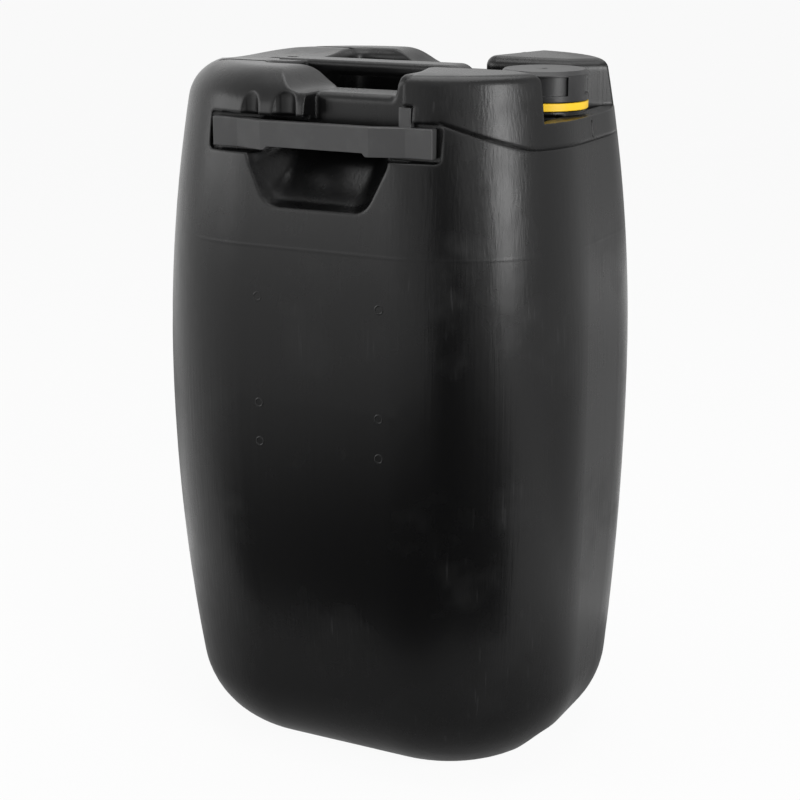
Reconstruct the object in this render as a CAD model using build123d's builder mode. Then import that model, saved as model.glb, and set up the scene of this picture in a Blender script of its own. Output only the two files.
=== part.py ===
import os
from math import sqrt

from build123d import *

os.makedirs("parts", exist_ok=True)

# Blow-moulded shell: overall sizes, +X is the cap end, +Z is up
length = 396.0
width = 328.0
height = 620.0
wall = 3.0
belly_share = 0.555  # share of the height at which all four sides are widest
crown_inset = 20.5  # how far each side draws in at the top
cap_base_inset = 15.0  # how far the cap end draws in at the base
rear_base_inset = 28.0  # the same at the other end
side_base_inset = 19.0  # the same at the two sides
corner_share = 0.384  # upright corners, as a share of the width
base_radius = 82.0
cap_crown_radius = 9.0  # top edge of the two humps beside the cap
rear_crown_radius = 38.0  # top edge of the rest
overrun = 30.0  # how far cuts run past the faces they open

# Deck hollow between the four stacking humps
deck_depth = 52.0
valley_left = -86.0
hand_left = -14.0  # left side of the two hand bays
hand_right = 51.0  # right side of the two hand bays at the channel
hand_lean_share = 0.27  # how fast that side leans to the cap end on its way out
hand_corner_radius = 12.0
deck_floor_radius = 8.0
rim_radius = 9.0

# Cap channel, open at the cap end over a low lip
neck_inset = 61.0  # distance of the neck from the cap end
channel_width = 108.0
mouth_width = 200.0
lip_depth = 40.0
lip_thickness = 14.0

# Ridges that bridge the hand bays between the humps
ridge_inset = 60.0  # distance of the ridge's middle from the side
ridge_width = 44.0
ridge_depth = 18.0
ridge_flat_left = -13.0
ridge_flat_right = 54.0
ridge_left_slope = 42.0
ridge_lean_share = 0.12  # how fast the left slope moves back on its way out
ridge_right_slope = 14.0
ridge_crest_drop = 1.0  # ridge ends stay this far under the hump tops
ridge_root = 28.0  # ridge ends run this far into the humps
ridge_round_radius = 7.0

# Dip across the rear of the top, and the drip slots beside it
saddle_width = 130.0
saddle_depth = 4.5
drip_y = 77.0
drip_x = -118.0
drip_length = 66.0
middle_drip_length = 28.0
drip_width = 5.0
drip_depth = 1.6

# Finger pockets under the side bars
pocket_mouth_width = 128.0
pocket_sill_width = 86.0
pocket_sill_depth = 107.0
pocket_shoulder_depth = 72.0
pocket_sill_radius = 20.0
pocket_depth = 56.0  # distance of the pocket's back wall from the side
pocket_back_width = 86.0
pocket_back_sill_depth = 67.0
pocket_back_bevel = 6.0
pocket_back_radius = 4.0
pocket_flare_share = 0.45  # how fast the mouth widens towards the side

# Clip-in side bars
bar_depth = 52.5
bar_share = 0.518  # share of the length that a bar takes
bar_height = 24.0
bar_thickness = 9.0
bar_rise = 10.0  # how far the grip stands out from the end tabs
tab_length = 24.0
ramp_length = 28.0
bar_gap = 4.0  # open joint over and under the bar
tab_gap = 5.6  # the same at the ends
slot_corner_radius = 4.0
grip_lift = 3.0  # the grip's underside sits this much above the tabs'
bar_edge_radius = 1.2
bar_chamfer = 0.8
stud_length = 7.0
stud_width = 12.0
stud_height = 14.0
stud_clearance = 0.15

# Catch of each bar, in a notch at the corner of the cap-side hump
catch_x = 77.0
catch_width = 11.0
catch_thickness = 6.0
catch_depth = 25.0
catch_clearance = 0.3
notch_gap = 1.8

# Flutes on the outer faces of the long humps
flute_top_depth = 9.0
flute_x = -32.0
flute_radius = 12.5
flute_depth = 6.5
small_flute_x = -65.0
small_flute_radius = 9.5
small_flute_depth = 4.5

# Centre handle
handle_width = 30.0
handle_right = 68.0
handle_drop = 3.0
handle_thickness = 13.0
handle_post = 24.0
handle_end_radius = 14.0
handle_root = 24.0
handle_edge_radius = 4.0

# Step line round the cap end
seam_start_depth = 36.0
seam_end_depth = 60.0
seam_turn_inset = 31.0
seam_turn_radius = 24.0
seam_width = 1.8
seam_depth = 2.0

# Drain slot in the end wall under the lip
drain_y = -8.0
drain_width = 3.0
drain_height = 14.0
drain_depth = 2.0
drain_top_gap = 3.4

# Base: grip recesses at both ends and a raised centre panel
grip_width = 130.0
grip_depth = 24.0
grip_height = 34.0
grip_radius = 13.0
panel_length = 150.0
panel_width = 84.0
panel_rise = 3.0
panel_corner_radius = 24.0

# Neck
neck_bore_radius = 26.5
neck_radius = 30.0
neck_drop = 9.5
collar_radius = 35.4
collar_height = 4.0
collar_depth = 35.6
skirt_radius = 39.0

# Tamper ring
ring_radius = 37.4
ring_height = 6.6
ring_clearance = 0.6
ring_edge = 0.5

# Screw cap
cap_radius = 37.6
cap_bore_radius = 32.3
cap_bottom_gap = 0.9
cap_panel = 3.2
seal_thickness = 2.6
seal_clearance = 0.3
cap_chamfer = 3.4
cap_flange_height = 5.0
cap_lip_height = 4.6
lobe_count = 5
lobe_share = 0.41  # share of each sector that a grip lobe takes
lobe_angle = -21.0  # direction of the first lobe from +X
panel_depth = 3.0
dimple_radius = 2.6

# Levels and places that follow from the overall sizes
belly_height = belly_share * height
corner_radius = corner_share * width
bar_length = bar_share * length
neck_x = length / 2 - neck_inset
seam_turn_x = length / 2 - seam_turn_inset
pocket_back = width / 2 - pocket_depth
ridge_inner = width / 2 - ridge_inset - ridge_width / 2
ridge_outer = width / 2 - ridge_inset + ridge_width / 2
deck_floor = height - deck_depth
lip_height = height - lip_depth
ridge_top = height - ridge_depth
pocket_sill = height - pocket_sill_depth
pocket_shoulder = height - pocket_shoulder_depth
pocket_back_sill = height - pocket_back_sill_depth
bar_level = height - bar_depth
catch_top = height - catch_depth
flute_top = height - flute_top_depth
handle_top = height - handle_drop
seam_start_level = height - seam_start_depth
seam_end_level = height - seam_end_depth
neck_top = height - neck_drop
collar_top = height - collar_depth


def side_inset(level):
    # Set-back of the upper side arc from the belly line at a level
    rise = height - belly_height
    arc_radius = (rise**2 + crown_inset**2) / (2 * crown_inset)
    return arc_radius - sqrt(arc_radius**2 - (level - belly_height) ** 2)


def corner_inset(x, level):
    # Set-back of the upright corner from the flat of the side
    past_flat = x - (length / 2 - side_inset(level) - corner_radius)
    return corner_radius - sqrt(corner_radius**2 - past_flat**2)


bay_middle = (hand_left + hand_right) / 2
outside = width / 2 + overrun
end_outside = length / 2 + overrun
stud_x = bar_length / 2 - tab_length / 2
bar_face = width / 2 - side_inset(bar_level) - corner_inset(stud_x, bar_level)
bar_bottom = bar_level - bar_height / 2
bar_top = bar_level + bar_height / 2
grip_length = bar_length - 2 * tab_length - 2 * ramp_length
slot_floor = bar_face - bar_thickness
slot_length = bar_length + 2 * tab_gap
slot_height = bar_height + 2 * bar_gap
ring_top = collar_top + ring_height
cap_bottom = ring_top + cap_bottom_gap
seal_bottom = neck_top + seal_clearance
cap_underside = seal_bottom + seal_thickness + seal_clearance
cap_top = cap_underside + cap_panel
neck_axis = Axis((neck_x, 0, 0), (0, 0, 1))
neck_section = Plane((neck_x, 0, 0), x_dir=(1, 0, 0), z_dir=(0, -1, 0))


def barrel(inward):
    # Four bulged sides with big upright corners and a round base edge
    low = inward
    high = height - inward
    views = (
        (Plane.XZ, length / 2 - inward, cap_base_inset, rear_base_inset, Mode.ADD),
        (Plane.YZ, width / 2 - inward, side_base_inset, side_base_inset, Mode.INTERSECT),
    )
    with BuildPart() as solid:
        for view, half, right_inset, left_inset, mode in views:
            with BuildSketch(view):
                with BuildLine():
                    TangentArc((half, belly_height), (half - right_inset, low), tangent=(0, -1))
                    TangentArc((half, belly_height), (half - crown_inset, high), tangent=(0, 1))
                    TangentArc((-half, belly_height), (left_inset - half, low), tangent=(0, -1))
                    TangentArc((-half, belly_height), (crown_inset - half, high), tangent=(0, 1))
                    Line((half - right_inset, low), (left_inset - half, low))
                    Line((half - crown_inset, high), (crown_inset - half, high))
                make_face()
            extrude(amount=length, both=True, mode=mode)
        uprights = solid.edges().filter_by(lambda edge: edge.bounding_box().size.Z > base_radius)
        fillet(uprights, radius=corner_radius - inward)
        fillet(solid.faces().sort_by(Axis.Z)[0].edges(), radius=base_radius - inward)
    halves = []
    for crown_radius, side in ((cap_crown_radius, Keep.TOP), (rear_crown_radius, Keep.BOTTOM)):
        with BuildPart() as half:
            add(solid.part)
            fillet(half.faces().sort_by(Axis.Z)[-1].edges(), radius=crown_radius - inward)
            split(bisect_by=Plane.YZ.offset(bay_middle), keep=side)
        halves.append(half.part)
    with BuildPart() as whole:
        add(halves)
    return whole.part


def deck_hollow(outward):
    # Centre valley, both hand bays and the cap channel, with a sheet above for the rims
    with BuildPart() as hollow:
        with BuildSketch(Plane.XY.offset(deck_floor - outward)) as plan:
            with BuildLine():
                Polyline(
                    (valley_left, 0),
                    (valley_left, ridge_inner),
                    (hand_left, ridge_inner),
                    (hand_left, outside),
                    (hand_right + hand_lean_share * (outside - channel_width / 2), outside),
                    (hand_right, channel_width / 2),
                    (neck_x, channel_width / 2),
                    (length / 2, mouth_width / 2),
                    (end_outside, mouth_width / 2),
                    (end_outside, 0),
                )
                mirror(about=Plane.XZ)
            make_face()
            inner_corners = plan.vertices().filter_by(lambda v: abs(v.Y) < ridge_outer)
            fillet(inner_corners.filter_by(lambda v: v.X < end_outside), radius=hand_corner_radius)
            if outward:
                offset(amount=outward)
        extrude(amount=height - deck_floor + outward)
        with BuildSketch(Plane.XY.offset(deck_floor - outward)):
            with Locations((length / 2, 0)):
                Rectangle(2 * (lip_thickness + crown_inset - outward), 2 * width)
        extrude(amount=lip_height - deck_floor, mode=Mode.SUBTRACT)
        if not outward:
            floor_loop = hollow.faces().sort_by(Axis.Z)[0].edges()
            fillet(floor_loop, radius=deck_floor_radius)
            with BuildSketch(Plane.XY.offset(height)):
                Rectangle(2 * length, 2 * width)
            extrude(amount=overrun)
            sheet = hollow.faces().filter_by(Axis.Z).filter_by(lambda f: f.area > length * width)
            rim = sheet.sort_by(Axis.Z)[0].inner_wires()[0]
            fillet(rim.edges(), radius=rim_radius)
    return hollow.part


def pocket(outward):
    # Finger pocket under the bar of the side that faces -Y
    flare = pocket_flare_share * (outside - bar_face)
    outlines = (
        (
            outside,
            pocket_mouth_width + 2 * flare,
            pocket_sill_width + 2 * flare,
            pocket_shoulder,
            pocket_sill - flare,
            pocket_sill_radius,
        ),
        (
            bar_face,
            pocket_mouth_width,
            pocket_sill_width,
            pocket_shoulder,
            pocket_sill,
            pocket_sill_radius,
        ),
        (
            pocket_back - outward,
            pocket_back_width,
            pocket_back_width - 2 * pocket_back_bevel,
            pocket_back_sill + pocket_back_bevel,
            pocket_back_sill,
            pocket_back_radius,
        ),
    )
    with BuildPart() as hollow:
        for plane_y, top_width, sill_width, shoulder, sill, sill_radius in outlines:
            with BuildSketch(Plane.XZ.offset(plane_y)) as outline:
                with BuildLine():
                    Polyline(
                        (0, sill - outward),
                        (sill_width / 2 + outward, sill - outward),
                        (top_width / 2 + outward, shoulder),
                        (top_width / 2 + outward, bar_top + outward),
                        (0, bar_top + outward),
                    )
                    mirror(about=Plane.YZ)
                make_face()
                lower = outline.vertices().filter_by(lambda v: v.Y < bar_level)
                fillet(lower, radius=sill_radius)
        loft(ruled=True)
    return hollow.part


def side_hollow(outward):
    # Bar slot, flutes and catch notch of the side that faces -Y
    flute_face = width / 2 - side_inset((flute_top + bar_top) / 2)
    flutes = (
        (flute_x, flute_radius, flute_depth),
        (small_flute_x, small_flute_radius, small_flute_depth),
    )
    with BuildPart() as hollow:
        with BuildSketch(Plane.XZ.offset(slot_floor - outward)):
            with Locations((0, bar_level)):
                RectangleRounded(slot_length + 2 * outward, slot_height + 2 * outward, slot_corner_radius)
            with Locations((catch_x, (bar_level + catch_top + notch_gap) / 2)):
                Rectangle(
                    catch_width + 2 * notch_gap + 2 * outward,
                    catch_top + notch_gap - bar_level + 2 * outward,
                )
        extrude(amount=outside - slot_floor)
        with BuildSketch(Plane.XZ.offset(slot_floor - stud_length - stud_clearance - outward)):
            with Locations((-stud_x, bar_level), (stud_x, bar_level)):
                Rectangle(
                    stud_width + 2 * stud_clearance + 2 * outward,
                    stud_height + 2 * stud_clearance + 2 * outward,
                )
        extrude(amount=stud_length + stud_clearance + outward)
        for x, radius, depth in flutes:
            with Locations((x, depth - flute_face - radius, flute_top - radius)):
                Sphere(radius + outward)
                Cylinder(
                    radius + outward,
                    flute_top - radius - bar_level,
                    align=(Align.CENTER, Align.CENTER, Align.MAX),
                )
    return hollow.part


def ridge(inward):
    # Rounded bridge between the humps over the -Y hand bay
    crest = height - ridge_crest_drop - inward
    top = ridge_top - inward
    left_end = hand_left - ridge_root + inward
    slope_right = ridge_flat_right + ridge_right_slope
    foot = deck_floor - wall + inward
    with BuildPart() as bridge:
        with BuildSketch(Plane.XZ.offset(ridge_inner + inward)):
            with BuildLine():
                Polyline(
                    (ridge_flat_right, top),
                    (left_end, top),
                    (left_end, foot),
                    (slope_right + ridge_root, foot),
                    (slope_right + ridge_root, crest),
                    (slope_right, crest),
                )
                Spline((ridge_flat_right, top), (slope_right, crest), tangents=((1, 0), (1, 0)))
            make_face()
        extrude(amount=ridge_width - 2 * inward)
        upper = bridge.edges().filter_by(lambda e: e.bounding_box().min.Z > top - wall)
        fillet(upper.filter_by(lambda e: e.bounding_box().size.X > wall), radius=ridge_round_radius - inward)
    return bridge.part


def shoulder_slope(outward):
    # Slope that brings the long humps down to the ridges on both sides
    low = ridge_top - outward
    foot_x = ridge_flat_left - outward + ridge_lean_share * (ridge_inner + ridge_outer) / 2
    travel = outside * sqrt(1 + ridge_lean_share**2)
    with BuildPart() as slope:
        with BuildSketch(Plane.XZ):
            with BuildLine():
                brow = (foot_x - ridge_left_slope, height - outward)
                Spline(brow, (foot_x, low), tangents=((1, 0), (1, 0)))
                Polyline(
                    (foot_x, low),
                    (foot_x + overrun, low),
                    (foot_x + overrun, height + overrun),
                    (foot_x - ridge_left_slope, height + overrun),
                    brow,
                )
            make_face()
        extrude(amount=travel, dir=(-ridge_lean_share, -1, 0))
        mirror(about=Plane.XZ)
    return slope.part


def saddle(outward):
    # Shallow dip between the two long humps
    dip_radius = ((saddle_width / 2) ** 2 + saddle_depth**2) / (2 * saddle_depth)
    with BuildPart() as dip:
        with BuildSketch(Plane.YZ.offset(-end_outside)):
            with Locations((0, height - saddle_depth + dip_radius)):
                Circle(dip_radius + outward)
        extrude(amount=end_outside + valley_left + rim_radius)
    return dip.part


def seam_groove(depth, outward):
    # Step line that drops from the bar slots and runs round the cap end
    skin = barrel(depth)
    with BuildPart() as groove:
        with BuildSketch(Plane.XZ):
            with BuildLine():
                FilletPolyline(
                    (slot_length / 2 - slot_corner_radius, seam_start_level),
                    (seam_turn_x, seam_end_level),
                    (end_outside, seam_end_level),
                    radius=seam_turn_radius,
                )
            trace(line_width=seam_width + 2 * outward)
        extrude(amount=outside, both=True)
        add(skin, mode=Mode.SUBTRACT)
    return groove.part


def base_hollow(outward):
    # Hand-holds under both ends and the raised centre panel
    ends = ((1, cap_base_inset), (-1, rear_base_inset))
    edge_rise = sqrt(base_radius**2 - (base_radius - grip_height) ** 2)
    with BuildPart() as hollow:
        for side, inset in ends:
            reach = length / 2 - inset - base_radius + edge_rise - grip_depth
            with BuildSketch(Plane.XY.offset(-overrun)) as plan:
                with Locations((side * (reach + end_outside) / 2, 0)):
                    Rectangle(end_outside - reach + 2 * outward, grip_width + 2 * outward)
                fillet(plan.vertices(), radius=grip_radius)
            extrude(amount=overrun + grip_height + outward)
        for ceiling in hollow.faces().filter_by(Axis.Z).sort_by(Axis.Z)[-2:]:
            fillet(ceiling.edges(), radius=grip_radius - outward)
        with BuildSketch(Plane.XY.offset(-overrun)):
            RectangleRounded(
                panel_length + 2 * outward,
                panel_width + 2 * outward,
                panel_corner_radius + outward,
            )
        extrude(amount=overrun + panel_rise + outward)
    return hollow.part


with BuildPart() as centre_handle:
    post_left = handle_right - handle_post
    grip_under = handle_top - handle_thickness
    with BuildSketch(Plane.XZ) as handle_side:
        with BuildLine():
            Polyline(
                (valley_left - overrun, handle_top),
                (handle_right, handle_top),
                (handle_right, deck_floor - wall),
                (post_left, deck_floor - wall),
                (post_left, grip_under),
                (valley_left + handle_root, grip_under),
                (valley_left, grip_under - handle_root),
                (valley_left - overrun, grip_under - handle_root),
                close=True,
            )
        make_face()
        under_corners = handle_side.vertices().filter_by(lambda v: v.X > valley_left and v.X < handle_right)
        fillet(under_corners.filter_by(lambda v: v.Y > deck_floor), radius=handle_end_radius / 2)
        end_corner = handle_side.vertices().sort_by(lambda v: v.X + v.Y)[-1]
        fillet(end_corner, radius=handle_end_radius)
    extrude(amount=handle_width / 2, both=True)
    cheeks = centre_handle.faces().filter_by(Axis.Y)
    fillet(cheeks.edges(), radius=handle_edge_radius)

with BuildPart() as neck:
    with BuildSketch(neck_section):
        with BuildLine():
            Polyline(
                (0, deck_floor - wall),
                (skirt_radius, deck_floor - wall),
                (skirt_radius, deck_floor),
                (neck_radius, deck_floor + skirt_radius - neck_radius),
                (neck_radius, collar_top - collar_height),
                (collar_radius, collar_top - collar_height),
                (collar_radius, collar_top),
                (neck_radius, collar_top),
                (neck_radius, neck_top),
                (0, neck_top),
                close=True,
            )
        make_face()
    revolve(axis=neck_axis)

right_pocket = pocket(0)
left_pocket = mirror(right_pocket, about=Plane.XZ)
right_pocket_core = pocket(wall)
left_pocket_core = mirror(right_pocket_core, about=Plane.XZ)
right_side = side_hollow(0)
left_side = mirror(right_side, about=Plane.XZ)
right_side_core = side_hollow(wall)
left_side_core = mirror(right_side_core, about=Plane.XZ)
right_ridge = ridge(0)
left_ridge = mirror(right_ridge, about=Plane.XZ)
right_ridge_core = ridge(wall)
left_ridge_core = mirror(right_ridge_core, about=Plane.XZ)

with BuildPart() as cavity:
    add(barrel(wall))
    add((right_pocket_core, left_pocket_core), mode=Mode.SUBTRACT)
    add((shoulder_slope(wall), saddle(wall)), mode=Mode.SUBTRACT)
    add(deck_hollow(wall), mode=Mode.SUBTRACT)
    add((right_side_core, left_side_core), mode=Mode.SUBTRACT)
    add(seam_groove(seam_depth + wall, wall), mode=Mode.SUBTRACT)
    add(base_hollow(wall), mode=Mode.SUBTRACT)
    add((right_ridge_core, left_ridge_core))

with BuildPart() as body:
    add(barrel(0))
    add((right_pocket, left_pocket), mode=Mode.SUBTRACT)
    add((shoulder_slope(0), saddle(0)), mode=Mode.SUBTRACT)
    add(deck_hollow(0), mode=Mode.SUBTRACT)
    add((right_side, left_side), mode=Mode.SUBTRACT)
    add((right_ridge, left_ridge))
    add(centre_handle.part)
    add(neck.part)
    add(seam_groove(seam_depth, 0), mode=Mode.SUBTRACT)
    add(base_hollow(0), mode=Mode.SUBTRACT)
    drain_x = length / 2 - side_inset(lip_height) - drain_depth
    with Locations((drain_x, drain_y, lip_height - drain_top_gap)):
        Box(
            overrun,
            drain_width,
            drain_height,
            align=(Align.MIN, Align.CENTER, Align.MAX),
            mode=Mode.SUBTRACT,
        )
    with Locations((drip_x, -drip_y, height), (drip_x, drip_y, height)):
        Box(drip_length, drip_width, 2 * drip_depth, mode=Mode.SUBTRACT)
    with Locations((drip_x, 0, height - saddle_depth)):
        Box(middle_drip_length, drip_width, 2 * drip_depth, mode=Mode.SUBTRACT)
    add(cavity.part, mode=Mode.SUBTRACT)
    with Locations((neck_x, 0, deck_floor - 2 * wall)):
        Cylinder(
            neck_bore_radius,
            neck_top + overrun - deck_floor,
            align=(Align.CENTER, Align.CENTER, Align.MIN),
            mode=Mode.SUBTRACT,
        )

body.part.label = "canister_body"
export_step(body.part, "parts/canister_body.step")

with BuildPart() as side_bar_right:
    grip_face = bar_face + bar_rise
    with BuildSketch(Plane.XY.offset(bar_bottom)):
        with BuildLine():
            Polyline(
                (0, -grip_face),
                (grip_length / 2, -grip_face),
                (bar_length / 2 - tab_length, -bar_face),
                (bar_length / 2, -bar_face),
                (bar_length / 2, -slot_floor),
                (bar_length / 2 - tab_length, -slot_floor),
                (grip_length / 2, bar_thickness - grip_face),
                (0, bar_thickness - grip_face),
            )
            mirror(about=Plane.YZ)
        make_face()
    extrude(amount=bar_height)
    with BuildSketch(Plane.XZ):
        with BuildLine():
            Polyline(
                (0, bar_bottom),
                (grip_length / 2 - grip_lift, bar_bottom),
                (grip_length / 2 - 2 * grip_lift, bar_bottom + grip_lift),
                (0, bar_bottom + grip_lift),
            )
            mirror(about=Plane.YZ)
        make_face()
    extrude(amount=outside, mode=Mode.SUBTRACT)
    fillet(side_bar_right.edges().filter_by(Axis.Z), radius=bar_edge_radius)
    chamfer(side_bar_right.faces().sort_by(Axis.Z)[-1].edges(), length=bar_chamfer)
    with BuildSketch(Plane.XZ.offset(slot_floor - stud_length)):
        with Locations((-stud_x, bar_level), (stud_x, bar_level)):
            Rectangle(stud_width, stud_height)
    extrude(amount=stud_length)
    with BuildSketch(Plane.XZ.offset(slot_floor + catch_clearance)):
        with Locations((catch_x, (bar_level + catch_top) / 2)):
            Rectangle(catch_width, catch_top - bar_level)
    extrude(amount=catch_thickness)

side_bar_right.part.label = "side_bar_right"
export_step(side_bar_right.part, "parts/side_bar_right.step")

with BuildPart() as side_bar_left:
    mirror(side_bar_right.part, about=Plane.XZ)

side_bar_left.part.label = "side_bar_left"
export_step(side_bar_left.part, "parts/side_bar_left.step")

with BuildPart() as tamper_ring:
    with BuildSketch(neck_section) as ring_section:
        with BuildLine():
            Polyline(
                (cap_bore_radius + ring_clearance, collar_top),
                (ring_radius, collar_top),
                (ring_radius, ring_top),
                (cap_bore_radius + ring_clearance, ring_top),
                close=True,
            )
        make_face()
        chamfer(ring_section.vertices(), length=ring_edge)
    revolve(axis=neck_axis)

tamper_ring.part.label = "tamper_ring"
export_step(tamper_ring.part, "parts/tamper_ring.step")

with BuildSketch() as grip_panel:
    panel_angle = 360 / lobe_count * (1 - lobe_share)
    lobe_angle_half = 360 / lobe_count * lobe_share / 2
    with BuildLine():
        inner_arc = CenterArc((0, 0), cap_radius - panel_depth, lobe_angle_half, panel_angle)
        outer_arc = CenterArc((0, 0), cap_radius + overrun, lobe_angle_half, panel_angle)
        Line(inner_arc @ 0, outer_arc @ 0)
        Line(inner_arc @ 1, outer_arc @ 1)
    make_face()

with BuildPart() as screw_cap:
    with BuildSketch(neck_section):
        with BuildLine():
            Polyline(
                (0, cap_top),
                (cap_radius - cap_chamfer, cap_top),
                (cap_radius, cap_top - cap_chamfer),
                (cap_radius, cap_bottom),
                (cap_bore_radius, cap_bottom),
                (cap_bore_radius, cap_underside),
                (0, cap_underside),
                close=True,
            )
        make_face()
    revolve(axis=neck_axis)
    with BuildSketch(Plane((neck_x, 0, cap_bottom + cap_flange_height))):
        with PolarLocations(0, lobe_count, start_angle=lobe_angle):
            add(grip_panel.sketch)
    extrude(amount=cap_top - cap_lip_height - cap_bottom - cap_flange_height, mode=Mode.SUBTRACT)
    with Locations((neck_x, 0, cap_top)):
        Sphere(dimple_radius, mode=Mode.SUBTRACT)

screw_cap.part.label = "screw_cap"
export_step(screw_cap.part, "parts/screw_cap.step")

with BuildPart() as cap_seal:
    with BuildSketch(Plane((neck_x, 0, seal_bottom))):
        Circle(cap_bore_radius - seal_clearance)
    extrude(amount=seal_thickness)

cap_seal.part.label = "cap_seal"
export_step(cap_seal.part, "parts/cap_seal.step")
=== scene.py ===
import math

import bpy
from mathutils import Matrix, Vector


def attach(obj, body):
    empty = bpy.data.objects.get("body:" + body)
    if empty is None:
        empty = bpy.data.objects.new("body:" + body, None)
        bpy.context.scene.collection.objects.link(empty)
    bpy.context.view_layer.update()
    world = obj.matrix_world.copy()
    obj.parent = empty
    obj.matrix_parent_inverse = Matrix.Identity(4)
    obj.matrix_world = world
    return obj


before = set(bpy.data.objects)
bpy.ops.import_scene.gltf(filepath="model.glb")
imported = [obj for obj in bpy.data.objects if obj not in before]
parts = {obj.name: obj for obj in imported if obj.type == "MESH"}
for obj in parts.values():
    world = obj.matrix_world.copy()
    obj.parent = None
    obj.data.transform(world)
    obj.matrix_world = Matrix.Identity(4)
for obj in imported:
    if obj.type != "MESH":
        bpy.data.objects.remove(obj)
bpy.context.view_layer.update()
mm = 0.001  # sizes of the pieces are in millimetres, Blender works in metres

scene = bpy.context.scene
scene.view_settings.view_transform = "Standard"


# node helpers

def addNode(tree, kind, **settings):
    node = tree.nodes.new(kind)
    for name, value in settings.items():
        setattr(node, name, value)
    return node


def fill(node, **values):
    for name, value in values.items():
        node.inputs[name.replace("_", " ")].default_value = value
    return node


def mathNode(tree, operation, *terms):
    node = addNode(tree, "ShaderNodeMath", operation=operation)
    for socket, term in zip(node.inputs, terms):
        if isinstance(term, (int, float)):
            socket.default_value = term
        else:
            tree.links.new(term, socket)
    return node.outputs[0]


def rangeNode(tree, value, given, wanted):
    node = addNode(tree, "ShaderNodeMapRange", interpolation_type="SMOOTHSTEP")
    fill(node, From_Min=given[0], From_Max=given[1], To_Min=wanted[0], To_Max=wanted[1])
    tree.links.new(value, node.inputs["Value"])
    return node.outputs["Result"]


def newGroup(name, inputs, outputs):
    group = bpy.data.node_groups.new(name, "ShaderNodeTree")
    for way, labels in (("INPUT", inputs), ("OUTPUT", outputs)):
        for label in labels:
            kind = "NodeSocketVector" if label == "Vector" else "NodeSocketFloat"
            group.interface.new_socket(label, in_out=way, socket_type=kind)
    return group, addNode(group, "NodeGroupInput").outputs, addNode(group, "NodeGroupOutput").inputs


def placeGroup(tree, group, **values):
    return fill(addNode(tree, "ShaderNodeGroup", node_tree=group), **values)


nodeGrid = {"column": 220, "row": 260}


# nodes stand in columns, each to the right of what feeds it
def arrange(tree):
    column = {node.name: 0 for node in tree.nodes}
    for step in range(len(tree.nodes)):
        for link in tree.links:
            after = column[link.from_node.name] + 1
            column[link.to_node.name] = max(column[link.to_node.name], after)
    filled = {}
    for node in tree.nodes:
        place = column[node.name]
        row = filled.get(place, 0)
        node.location = (place * nodeGrid["column"], -row * nodeGrid["row"])
        filled[place] = row + 1


# fine skin of moulded polyethylene: a pebble grain and long lines drawn down the wall
skinNoise = {
    "lineDetail": 3.0,
    "lineRoughness": 0.62,
    "grainDetail": 2.0,
    "grainRoughness": 0.5,
}


def buildMouldSkin():
    group, take, give = newGroup(
        "mouldSkin",
        ["Vector", "Grain Size", "Grain Depth", "Line Spacing", "Line Length", "Line Depth"],
        ["Height"],
    )
    link = group.links.new
    across = mathNode(group, "DIVIDE", 1.0, take["Line Spacing"])
    along = mathNode(group, "DIVIDE", 1.0, take["Line Length"])
    stretch = addNode(group, "ShaderNodeCombineXYZ")
    link(across, stretch.inputs["X"])
    link(across, stretch.inputs["Y"])
    link(along, stretch.inputs["Z"])
    drawn = addNode(group, "ShaderNodeVectorMath", operation="MULTIPLY")
    link(take["Vector"], drawn.inputs[0])
    link(stretch.outputs[0], drawn.inputs[1])
    lines = addNode(group, "ShaderNodeTexNoise")
    fill(lines, Scale=1.0, Detail=skinNoise["lineDetail"], Roughness=skinNoise["lineRoughness"])
    link(drawn.outputs[0], lines.inputs["Vector"])

    pebble = addNode(group, "ShaderNodeTexNoise")
    fill(pebble, Detail=skinNoise["grainDetail"], Roughness=skinNoise["grainRoughness"])
    link(take["Vector"], pebble.inputs["Vector"])
    link(mathNode(group, "DIVIDE", 1.0, take["Grain Size"]), pebble.inputs["Scale"])

    lineHeight = mathNode(group, "MULTIPLY", lines.outputs["Fac"], take["Line Depth"])
    pebbleHeight = mathNode(group, "MULTIPLY", pebble.outputs["Fac"], take["Grain Depth"])
    link(mathNode(group, "ADD", lineHeight, pebbleHeight), give["Height"])
    arrange(group)
    return group


# thin handling scratches and rubbed patches, each run of scratches is (turn, stretch)
scuffNoise = {
    "patchDetail": 4.0,
    "patchRoughness": 0.6,
    "patchRange": (0.48, 0.72),
    "scratchDetail": 1.0,
    "scratchRoughness": 0.4,
    "scratchRange": (0.7, 0.76),
    "scratchRuns": [(0.22, 0.04), (-0.5, 0.06), (1.2, 0.05)],
}


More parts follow.
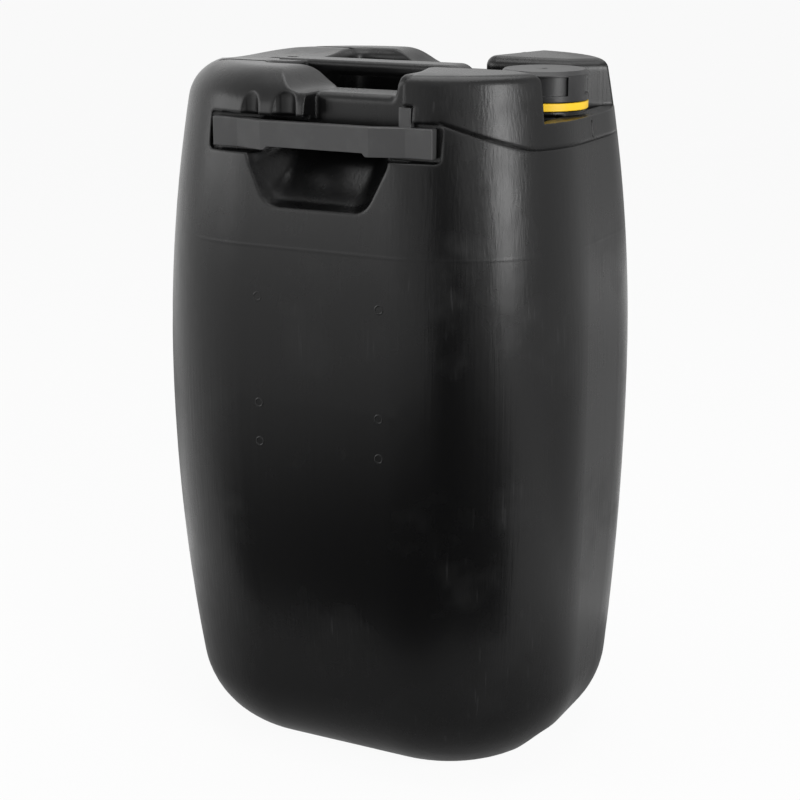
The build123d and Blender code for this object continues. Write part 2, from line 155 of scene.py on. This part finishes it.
def buildScuffs():
    group, take, give = newGroup(
        "scuffs", ["Vector", "Patch Size", "Scratch Spacing", "Amount"], ["Mask", "Patches"]
    )
    link = group.links.new
    patches = addNode(group, "ShaderNodeTexNoise")
    fill(patches, Detail=scuffNoise["patchDetail"], Roughness=scuffNoise["patchRoughness"])
    link(take["Vector"], patches.inputs["Vector"])
    link(mathNode(group, "DIVIDE", 1.0, take["Patch Size"]), patches.inputs["Scale"])
    rubbed = rangeNode(group, patches.outputs["Fac"], scuffNoise["patchRange"], (0, 1))

    scratchScale = mathNode(group, "DIVIDE", 1.0, take["Scratch Spacing"])
    scratches = 0.0
    for turn, stretch in scuffNoise["scratchRuns"]:
        turned = addNode(group, "ShaderNodeMapping")
        fill(turned, Rotation=(turn, turn, 0), Scale=(1, 1, stretch))
        link(take["Vector"], turned.inputs["Vector"])
        fibres = addNode(group, "ShaderNodeTexNoise")
        fill(fibres, Detail=scuffNoise["scratchDetail"], Roughness=scuffNoise["scratchRoughness"])
        link(turned.outputs[0], fibres.inputs["Vector"])
        link(scratchScale, fibres.inputs["Scale"])
        thin = rangeNode(group, fibres.outputs["Fac"], scuffNoise["scratchRange"], (0, 1))
        scratches = mathNode(group, "MAXIMUM", scratches, thin)
    inPatch = mathNode(group, "MULTIPLY", scratches, rubbed)
    link(mathNode(group, "MULTIPLY", inPatch, take["Amount"]), give["Mask"])
    link(rubbed, give["Patches"])
    arrange(group)
    return group


# a raised line where a coordinate crosses a level
def buildMouldLine():
    group, take, give = newGroup(
        "mouldLine", ["Coordinate", "Level", "Half Width", "Rise"], ["Height"]
    )
    away = mathNode(group, "SUBTRACT", take["Coordinate"], take["Level"])
    share = mathNode(group, "DIVIDE", mathNode(group, "ABSOLUTE", away), take["Half Width"])
    bead = rangeNode(group, share, (0, 1), (1, 0))
    group.links.new(mathNode(group, "MULTIPLY", bead, take["Rise"]), give["Height"])
    arrange(group)
    return group


# a round vent plug in the mould leaves a small ring on both long sides
def buildVentMark():
    group, take, give = newGroup(
        "ventMark",
        ["Across", "Level", "Middle", "Middle Level", "Radius", "Line", "Rise"],
        ["Height"],
    )
    aside = mathNode(group, "SUBTRACT", take["Across"], take["Middle"])
    above = mathNode(group, "SUBTRACT", take["Level"], take["Middle Level"])
    asideSquare = mathNode(group, "MULTIPLY", aside, aside)
    aboveSquare = mathNode(group, "MULTIPLY", above, above)
    reach = mathNode(group, "SQRT", mathNode(group, "ADD", asideSquare, aboveSquare))
    fromRing = mathNode(group, "SUBTRACT", reach, take["Radius"])
    share = mathNode(group, "DIVIDE", mathNode(group, "ABSOLUTE", fromRing), take["Line"])
    ring = rangeNode(group, share, (0, 1), (1, 0))
    group.links.new(mathNode(group, "MULTIPLY", ring, take["Rise"]), give["Height"])
    arrange(group)
    return group


mouldSkin = buildMouldSkin()
scuffs = buildScuffs()
mouldLine = buildMouldLine()
ventMark = buildVentMark()
print("shader groups built")


# one moulded plastic: colour, gloss and skin come from its own dictionary
def mouldedPlastic(name, look):
    material = bpy.data.materials.new(name)
    material.use_nodes = True
    tree = material.node_tree
    link = tree.links.new
    surface = tree.nodes["Principled BSDF"]
    fill(surface, Specular_IOR_Level=look["specular"], IOR=look["ior"])

    place = addNode(tree, "ShaderNodeTexCoord").outputs["Object"]
    skin = placeGroup(
        tree, mouldSkin,
        Grain_Size=look["grainSize"] * mm,
        Grain_Depth=look["grainDepth"] * mm,
        Line_Spacing=look["lineSpacing"] * mm,
        Line_Length=look["lineLength"] * mm,
        Line_Depth=look["lineDepth"] * mm,
    )
    link(place, skin.inputs["Vector"])
    wear = placeGroup(
        tree, scuffs,
        Patch_Size=look["patchSize"] * mm,
        Scratch_Spacing=look["scratchSpacing"] * mm,
        Amount=look["scuffAmount"],
    )
    link(place, wear.inputs["Vector"])
    patches, scratches = wear.outputs["Patches"], wear.outputs["Mask"]

    tint = addNode(tree, "ShaderNodeMix", data_type="RGBA")
    fill(tint, A=look["colour"], B=look["rubbedColour"])
    link(mathNode(tree, "MULTIPLY", patches, look["patchTint"]), tint.inputs["Factor"])
    marked = addNode(tree, "ShaderNodeMix", data_type="RGBA")
    fill(marked, B=look["scratchColour"])
    link(tint.outputs["Result"], marked.inputs["A"])
    link(scratches, marked.inputs["Factor"])
    link(marked.outputs["Result"], surface.inputs["Base Color"])

    satin = rangeNode(tree, patches, (0, 1), (look["roughness"], look["rubbedRoughness"]))
    scratched = mathNode(tree, "MULTIPLY", scratches, look["scratchRoughness"])
    link(mathNode(tree, "ADD", satin, scratched), surface.inputs["Roughness"])

    height = skin.outputs["Height"]
    axes = addNode(tree, "ShaderNodeSeparateXYZ")
    link(place, axes.inputs[0])
    for axis, level, halfWidth, rise in look["mouldLines"]:
        line = placeGroup(
            tree, mouldLine, Level=level * mm, Half_Width=halfWidth * mm, Rise=rise * mm
        )
        link(axes.outputs[axis], line.inputs["Coordinate"])
        height = mathNode(tree, "ADD", height, line.outputs["Height"])
    for middle, level in look["ventMarks"]:
        vent = placeGroup(
            tree, ventMark,
            Middle=middle * mm,
            Middle_Level=level * mm,
            Radius=look["ventRadius"] * mm,
            Line=look["ventLine"] * mm,
            Rise=look["ventRise"] * mm,
        )
        link(axes.outputs["X"], vent.inputs["Across"])
        link(axes.outputs["Z"], vent.inputs["Level"])
        height = mathNode(tree, "ADD", height, vent.outputs["Height"])
    rounded = addNode(tree, "ShaderNodeBevel", samples=look["edgeSamples"])
    fill(rounded, Radius=look["edgeRadius"] * mm)
    bump = fill(addNode(tree, "ShaderNodeBump"), Strength=1.0, Distance=1.0)
    link(height, bump.inputs["Height"])
    link(rounded.outputs[0], bump.inputs["Normal"])
    link(bump.outputs[0], surface.inputs["Normal"])
    arrange(tree)
    return material


# mouldLines are (axis, level, half width, rise), ventMarks (along, level)
shellLook = {
    "colour": (0.0022, 0.0022, 0.0023, 1),
    "rubbedColour": (0.0042, 0.0042, 0.0044, 1),
    "scratchColour": (0.03, 0.03, 0.031, 1),
    "patchTint": 0.8,
    "specular": 0.3,
    "ior": 1.5,
    "roughness": 0.27,
    "rubbedRoughness": 0.36,
    "scratchRoughness": 0.15,
    "grainSize": 1.3,
    "grainDepth": 0.012,
    "lineSpacing": 2.4,
    "lineLength": 190,
    "lineDepth": 0.15,
    "patchSize": 90,
    "scratchSpacing": 3.5,
    "scuffAmount": 0.35,
    "edgeRadius": 4.0,
    "edgeSamples": 8,
    "mouldLines": [("Y", 0, 0.6, 0.08), ("Z", 475.5, 2.4, 0.05)],
    "ventMarks": [
        (-53, 432.5), (62.5, 432.5),
        (-52, 340.5), (63, 340.5),
        (-52, 306), (63, 306),
    ],
    "ventRadius": 3.5,
    "ventLine": 0.7,
    "ventRise": 0.3,
}
barLook = dict(
    shellLook,
    colour=(0.04, 0.04, 0.0405, 1),
    rubbedColour=(0.052, 0.052, 0.0525, 1),
    scratchColour=(0.09, 0.09, 0.09, 1),
    roughness=0.34,
    rubbedRoughness=0.42,
    lineDepth=0.0,
    grainDepth=0.02,
    grainSize=0.8,
    patchSize=30,
    edgeRadius=0.8,
    mouldLines=[],
    ventMarks=[],
)
capLook = dict(
    barLook,
    colour=(0.016, 0.016, 0.0165, 1),
    rubbedColour=(0.022, 0.022, 0.0225, 1),
    roughness=0.32,
    edgeRadius=0.6,
    patchSize=18,
)
ringLook = dict(
    capLook,
    colour=(0.82, 0.52, 0.022, 1),
    rubbedColour=(0.92, 0.6, 0.045, 1),
    scratchColour=(0.95, 0.7, 0.25, 1),
    roughness=0.42,
    rubbedRoughness=0.5,
    edgeRadius=0.3,
)
sealLook = dict(
    capLook,
    colour=(0.55, 0.55, 0.53, 1),
    rubbedColour=(0.62, 0.62, 0.6, 1),
    scratchColour=(0.5, 0.5, 0.48, 1),
    roughness=0.62,
    rubbedRoughness=0.7,
    grainDepth=0.05,
    edgeRadius=0.3,
)

shellPlastic = mouldedPlastic("shellPlastic", shellLook)
barPlastic = mouldedPlastic("barPlastic", barLook)
capPlastic = mouldedPlastic("capPlastic", capLook)
ringPlastic = mouldedPlastic("ringPlastic", ringLook)
sealFoam = mouldedPlastic("sealFoam", sealLook)

finishes = {
    "canister_body": shellPlastic,
    "side_bar_right": barPlastic,
    "side_bar_left": barPlastic,
    "screw_cap": capPlastic,
    "tamper_ring": ringPlastic,
    "cap_seal": sealFoam,
}
for node, material in finishes.items():
    parts[node].data.materials.clear()
    parts[node].data.materials.append(material)
print("materials on", len(finishes), "moulded parts")


# screw threads: one round ridge wound up the neck, one inside the cap, half a pitch apart
neckThread = {
    "name": "neckThread",
    "body": "can",
    "slot": "shell",
    "material": shellPlastic,
    "centre": 137.0,
    "radius": 30.0,
    "ridge": 1.6,
    "pitch": 6.0,
    "turns": 2.4,
    "start": 592.0,
    "fade": 0.06,
    "steps": 72,
    "sides": 12,
}
capThread = dict(
    neckThread,
    name="capThread",
    body="closure",
    slot="cap",
    material=capPlastic,
    radius=32.3,
    ridge=1.5,
    turns=2.2,
    start=595.0,
)
threadSockets = {
    "Turns": "NodeSocketFloat",
    "Radius": "NodeSocketFloat",
    "Height": "NodeSocketFloat",
    "Ridge": "NodeSocketFloat",
    "Fade": "NodeSocketFloat",
    "Steps": "NodeSocketInt",
    "Sides": "NodeSocketInt",
    "Place": "NodeSocketVector",
    "Material": "NodeSocketMaterial",
}


def buildThreadTree():
    tree = bpy.data.node_groups.new("threadRidge", "GeometryNodeTree")
    for label, kind in threadSockets.items():
        tree.interface.new_socket(label, in_out="INPUT", socket_type=kind)
    tree.interface.new_socket("Geometry", in_out="OUTPUT", socket_type="NodeSocketGeometry")
    link = tree.links.new
    take = addNode(tree, "NodeGroupInput").outputs
    winding = addNode(tree, "GeometryNodeCurveSpiral")
    link(take["Steps"], winding.inputs["Resolution"])
    link(take["Turns"], winding.inputs["Rotations"])
    link(take["Radius"], winding.inputs["Start Radius"])
    link(take["Radius"], winding.inputs["End Radius"])
    link(take["Height"], winding.inputs["Height"])
    section = addNode(tree, "GeometryNodeCurvePrimitiveCircle")
    link(take["Sides"], section.inputs["Resolution"])
    link(take["Ridge"], section.inputs["Radius"])
    # both ends run out to nothing
    along = addNode(tree, "GeometryNodeSplineParameter").outputs["Factor"]
    nearer = mathNode(tree, "MINIMUM", along, mathNode(tree, "SUBTRACT", 1.0, along))
    runOut = mathNode(tree, "DIVIDE", nearer, take["Fade"])
    sweep = fill(addNode(tree, "GeometryNodeCurveToMesh"), Fill_Caps=True)
    link(winding.outputs[0], sweep.inputs["Curve"])
    link(section.outputs[0], sweep.inputs["Profile Curve"])
    link(mathNode(tree, "MINIMUM", runOut, 1.0), sweep.inputs["Scale"])
    move = addNode(tree, "GeometryNodeTransform")
    link(sweep.outputs[0], move.inputs["Geometry"])
    link(take["Place"], move.inputs["Translation"])
    smooth = addNode(tree, "GeometryNodeSetShadeSmooth")
    link(move.outputs[0], smooth.inputs["Geometry"])
    paint = addNode(tree, "GeometryNodeSetMaterial")
    link(smooth.outputs[0], paint.inputs["Geometry"])
    link(take["Material"], paint.inputs["Material"])
    link(paint.outputs[0], addNode(tree, "NodeGroupOutput").inputs[0])
    arrange(tree)
    return tree


def addThread(tree, values):
    name = values["name"]
    host = bpy.data.objects.new(name, bpy.data.meshes.new(name))
    scene.collection.objects.link(host)
    wound = host.modifiers.new("thread", "NODES")
    wound.node_group = tree
    settings = {
        "Turns": values["turns"],
        "Radius": values["radius"] * mm,
        "Height": values["turns"] * values["pitch"] * mm,
        "Ridge": values["ridge"] * mm,
        "Fade": values["fade"],
        "Steps": values["steps"],
        "Sides": values["sides"],
        "Place": (values["centre"] * mm, 0, values["start"] * mm),
        "Material": values["material"],
    }
    for socket in tree.interface.items_tree:
        if socket.in_out == "INPUT":
            wound[socket.identifier] = settings[socket.name]
    graph = bpy.context.evaluated_depsgraph_get()
    host.data = bpy.data.meshes.new_from_object(host.evaluated_get(graph))
    host.modifiers.remove(wound)
    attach(host, values["body"])
    print(name, len(host.data.polygons), "faces")


threadTree = buildThreadTree()
addThread(threadTree, neckThread)
addThread(threadTree, capThread)


# floor, world, lamps, cloths, a painted floor shadow and camera, all in metres
studio = {
    "floorSize": 60.0,
    "floorColour": (0.72, 0.72, 0.72, 1),
    "floorWhite": 0.94,
    "white": (1, 1, 1, 1),
    "ambient": 0.16,
    "sheetPale": 0.95,
}


def bareTree(owner):
    owner.use_nodes = True
    owner.node_tree.nodes.clear()
    return owner.node_tree


# rays that see the white background: the camera's, reflected ones and those through clear things
def seenRays(tree):
    rays = addNode(tree, "ShaderNodeLightPath").outputs
    seen = mathNode(tree, "MAXIMUM", rays["Is Camera Ray"], rays["Is Glossy Ray"])
    return mathNode(tree, "MAXIMUM", seen, rays["Is Transmission Ray"])


def mixToOutput(tree, share, first, second, output):
    link = tree.links.new
    mixed = addNode(tree, "ShaderNodeMixShader")
    link(share, mixed.inputs[0])
    link(first.outputs[0], mixed.inputs[1])
    link(second.outputs[0], mixed.inputs[2])
    link(mixed.outputs[0], addNode(tree, output).inputs[0])
    arrange(tree)


def addFloor():
    bpy.ops.mesh.primitive_plane_add(size=studio["floorSize"])
    floor = bpy.context.object
    floor.name = "floor"
    material = bpy.data.materials.new("paleFloor")
    tree = bareTree(material)
    share = mathNode(tree, "MULTIPLY", seenRays(tree), studio["floorWhite"])
    paper = fill(addNode(tree, "ShaderNodeBsdfDiffuse"), Color=studio["floorColour"])
    white = fill(addNode(tree, "ShaderNodeEmission"), Color=studio["white"], Strength=1)
    mixToOutput(tree, share, paper, white, "ShaderNodeOutputMaterial")
    floor.data.materials.append(material)


def addWorld():
    scene.world = bpy.data.worlds.new("studioWorld")
    tree = bareTree(scene.world)
    dim = addNode(tree, "ShaderNodeBackground")
    fill(dim, Color=studio["white"], Strength=studio["ambient"])
    white = fill(addNode(tree, "ShaderNodeBackground"), Color=studio["white"], Strength=1)
    mixToOutput(tree, seenRays(tree), dim, white, "ShaderNodeOutputWorld")


# glow is the brightness of the panel's face, 1 is white
lamps = {
    "rightBox": {
        "at": (1.94, -1.2, 0.98), "aim": (0, 0, 0.5), "size": (1.35, 1.2), "glow": 10.5,
    },
    "frontPanel": {
        "at": (-1.4, -2.2, 1.0), "aim": (0, 0, 0.4), "size": (1.6, 1.2), "glow": 1.6,
    },
    "leftPanel": {
        "at": (-2.05, -1.2, 1.05), "aim": (0, 0, 0.5), "size": (1.6, 1.1), "glow": 2.6,
    },
    "topPanel": {
        "at": (0, 0.1, 2.6), "aim": (0, 0, 0), "size": (2.0, 2.0), "glow": 2.9,
    },
}


def addLamp(name, values):
    data = bpy.data.lights.new(name, "AREA")
    data.shape = "RECTANGLE"
    data.size, data.size_y = values["size"]
    data.energy = values["glow"] * math.pi * data.size * data.size_y
    lamp = bpy.data.objects.new(name, data)
    lamp.location = values["at"]
    aim = Vector(values["aim"]) - Vector(values["at"])
    lamp.rotation_euler = aim.to_track_quat("-Z", "Y").to_euler()
    lamp.visible_camera = False
    scene.collection.objects.link(lamp)


# cloths that only reflections see, each pales outwards from its middle; the sheet round the base is
# painted shadow, standing in for the object's shade on the floor
clothsAndShadowSheet = {
    "frontCloth": {
        "middle": (0.3, -0.7, 0), "darkWithin": 0.45, "paleFrom": 1.4, "dark": 0.004,
        "faces": [
            [
                (-1.5, -0.5, 0.002), (-0.2, -0.38, 0.002), (0.24, -0.35, 0.002),
                (0.42, -0.19, 0.002), (1.7, -0.6, 0.002), (1.7, -2.4, 0.002),
                (-1.5, -2.4, 0.002),
            ],
            [(0.2, -0.72, 0), (0.72, -0.46, 0), (0.72, -0.46, 1.0), (0.2, -0.72, 1.0)],
        ],
    },
    # painted shadow: a dark sheet under and round the base, seen only in reflections, darkest near
    # the object and paling outwards
    "paintedFloorShadow": {
        "middle": (0, 0, 0), "darkWithin": 0.25, "paleFrom": 0.62, "dark": 0.38,
        "faces": [[
            (-0.5, -0.45, 0.001), (0.5, -0.45, 0.001), (0.5, 0.45, 0.001), (-0.5, 0.45, 0.001),
        ]],
    },
    "backCloth": {
        "middle": (-0.75, 1.1, 0), "darkWithin": 0.4, "paleFrom": 1.2, "dark": 0.3,
        "faces": [[
            (-0.15, 0.3, 0.002), (-0.1, 2.6, 0.002), (-2.4, 2.6, 0.002), (-2.0, 0.2, 0.002),
        ]],
    },
    "sideCloth": {
        "middle": (0.8, 1.1, 0), "darkWithin": 0.5, "paleFrom": 1.5, "dark": 0.55,
        "faces": [[
            (0.15, 0.3, 0.002), (2.2, -0.1, 0.002), (2.6, 2.6, 0.002), (0.1, 2.6, 0.002),
        ]],
    },
    "backdropCloth": {
        "middle": (0.2, 2.7, 0.6), "darkWithin": 0.6, "paleFrom": 2.2, "dark": 0.4,
        "faces": [[(-2.4, 2.7, 0), (2.0, 2.7, 0), (2.0, 2.7, 1.9), (-2.4, 2.7, 1.9)]],
    },
}


def addClothOrShadowSheet(name, values):
    points, faces = [], []
    for corners in values["faces"]:
        faces.append(range(len(points), len(points) + len(corners)))
        points += corners
    mesh = bpy.data.meshes.new(name)
    mesh.from_pydata(points, [], faces)
    sheet = bpy.data.objects.new(name, mesh)
    scene.collection.objects.link(sheet)
    material = bpy.data.materials.new(name)
    tree = bareTree(material)
    link = tree.links.new
    away = addNode(tree, "ShaderNodeVectorMath", operation="DISTANCE")
    away.inputs[1].default_value = values["middle"]
    link(addNode(tree, "ShaderNodeTexCoord").outputs["Object"], away.inputs[0])
    # the glow darkens towards the middle; on the sheet round the base this is painted shadow
    shade = rangeNode(
        tree, away.outputs["Value"],
        (values["darkWithin"], values["paleFrom"]),
        (values["dark"], studio["sheetPale"]),
    )
    sheetGlow = addNode(tree, "ShaderNodeEmission")
    link(shade, sheetGlow.inputs["Color"])
    link(sheetGlow.outputs[0], addNode(tree, "ShaderNodeOutputMaterial").inputs[0])
    arrange(tree)
    mesh.materials.append(material)
    sheet.visible_camera = sheet.visible_diffuse = sheet.visible_shadow = False


# the photo's camera, angles in degrees
view = {
    "azimuth": 26.95,
    "pitch": 15.635,
    "distance": 1.6649,
    "target": (0, 0, 0.310),
    "sensor": 36,
    "lens": 81.0675,
    "shift": (-0.000425, -0.00239),
}


def addCamera():
    data = bpy.data.cameras.new("camera")
    data.sensor_width = view["sensor"]
    data.lens = view["lens"]
    data.shift_x, data.shift_y = view["shift"]
    camera = bpy.data.objects.new("camera", data)
    turn, down = math.radians(view["azimuth"]), math.radians(view["pitch"])
    level = math.cos(down)
    look = Vector((-math.sin(turn) * level, math.cos(turn) * level, -math.sin(down)))
    camera.location = Vector(view["target"]) - look * view["distance"]
    camera.rotation_euler = look.to_track_quat("-Z", "Y").to_euler()
    scene.collection.objects.link(camera)
    scene.camera = camera


addFloor()
addWorld()
for name, values in clothsAndShadowSheet.items():
    addClothOrShadowSheet(name, values)
for name, values in lamps.items():
    addLamp(name, values)
addCamera()
print("studio set")
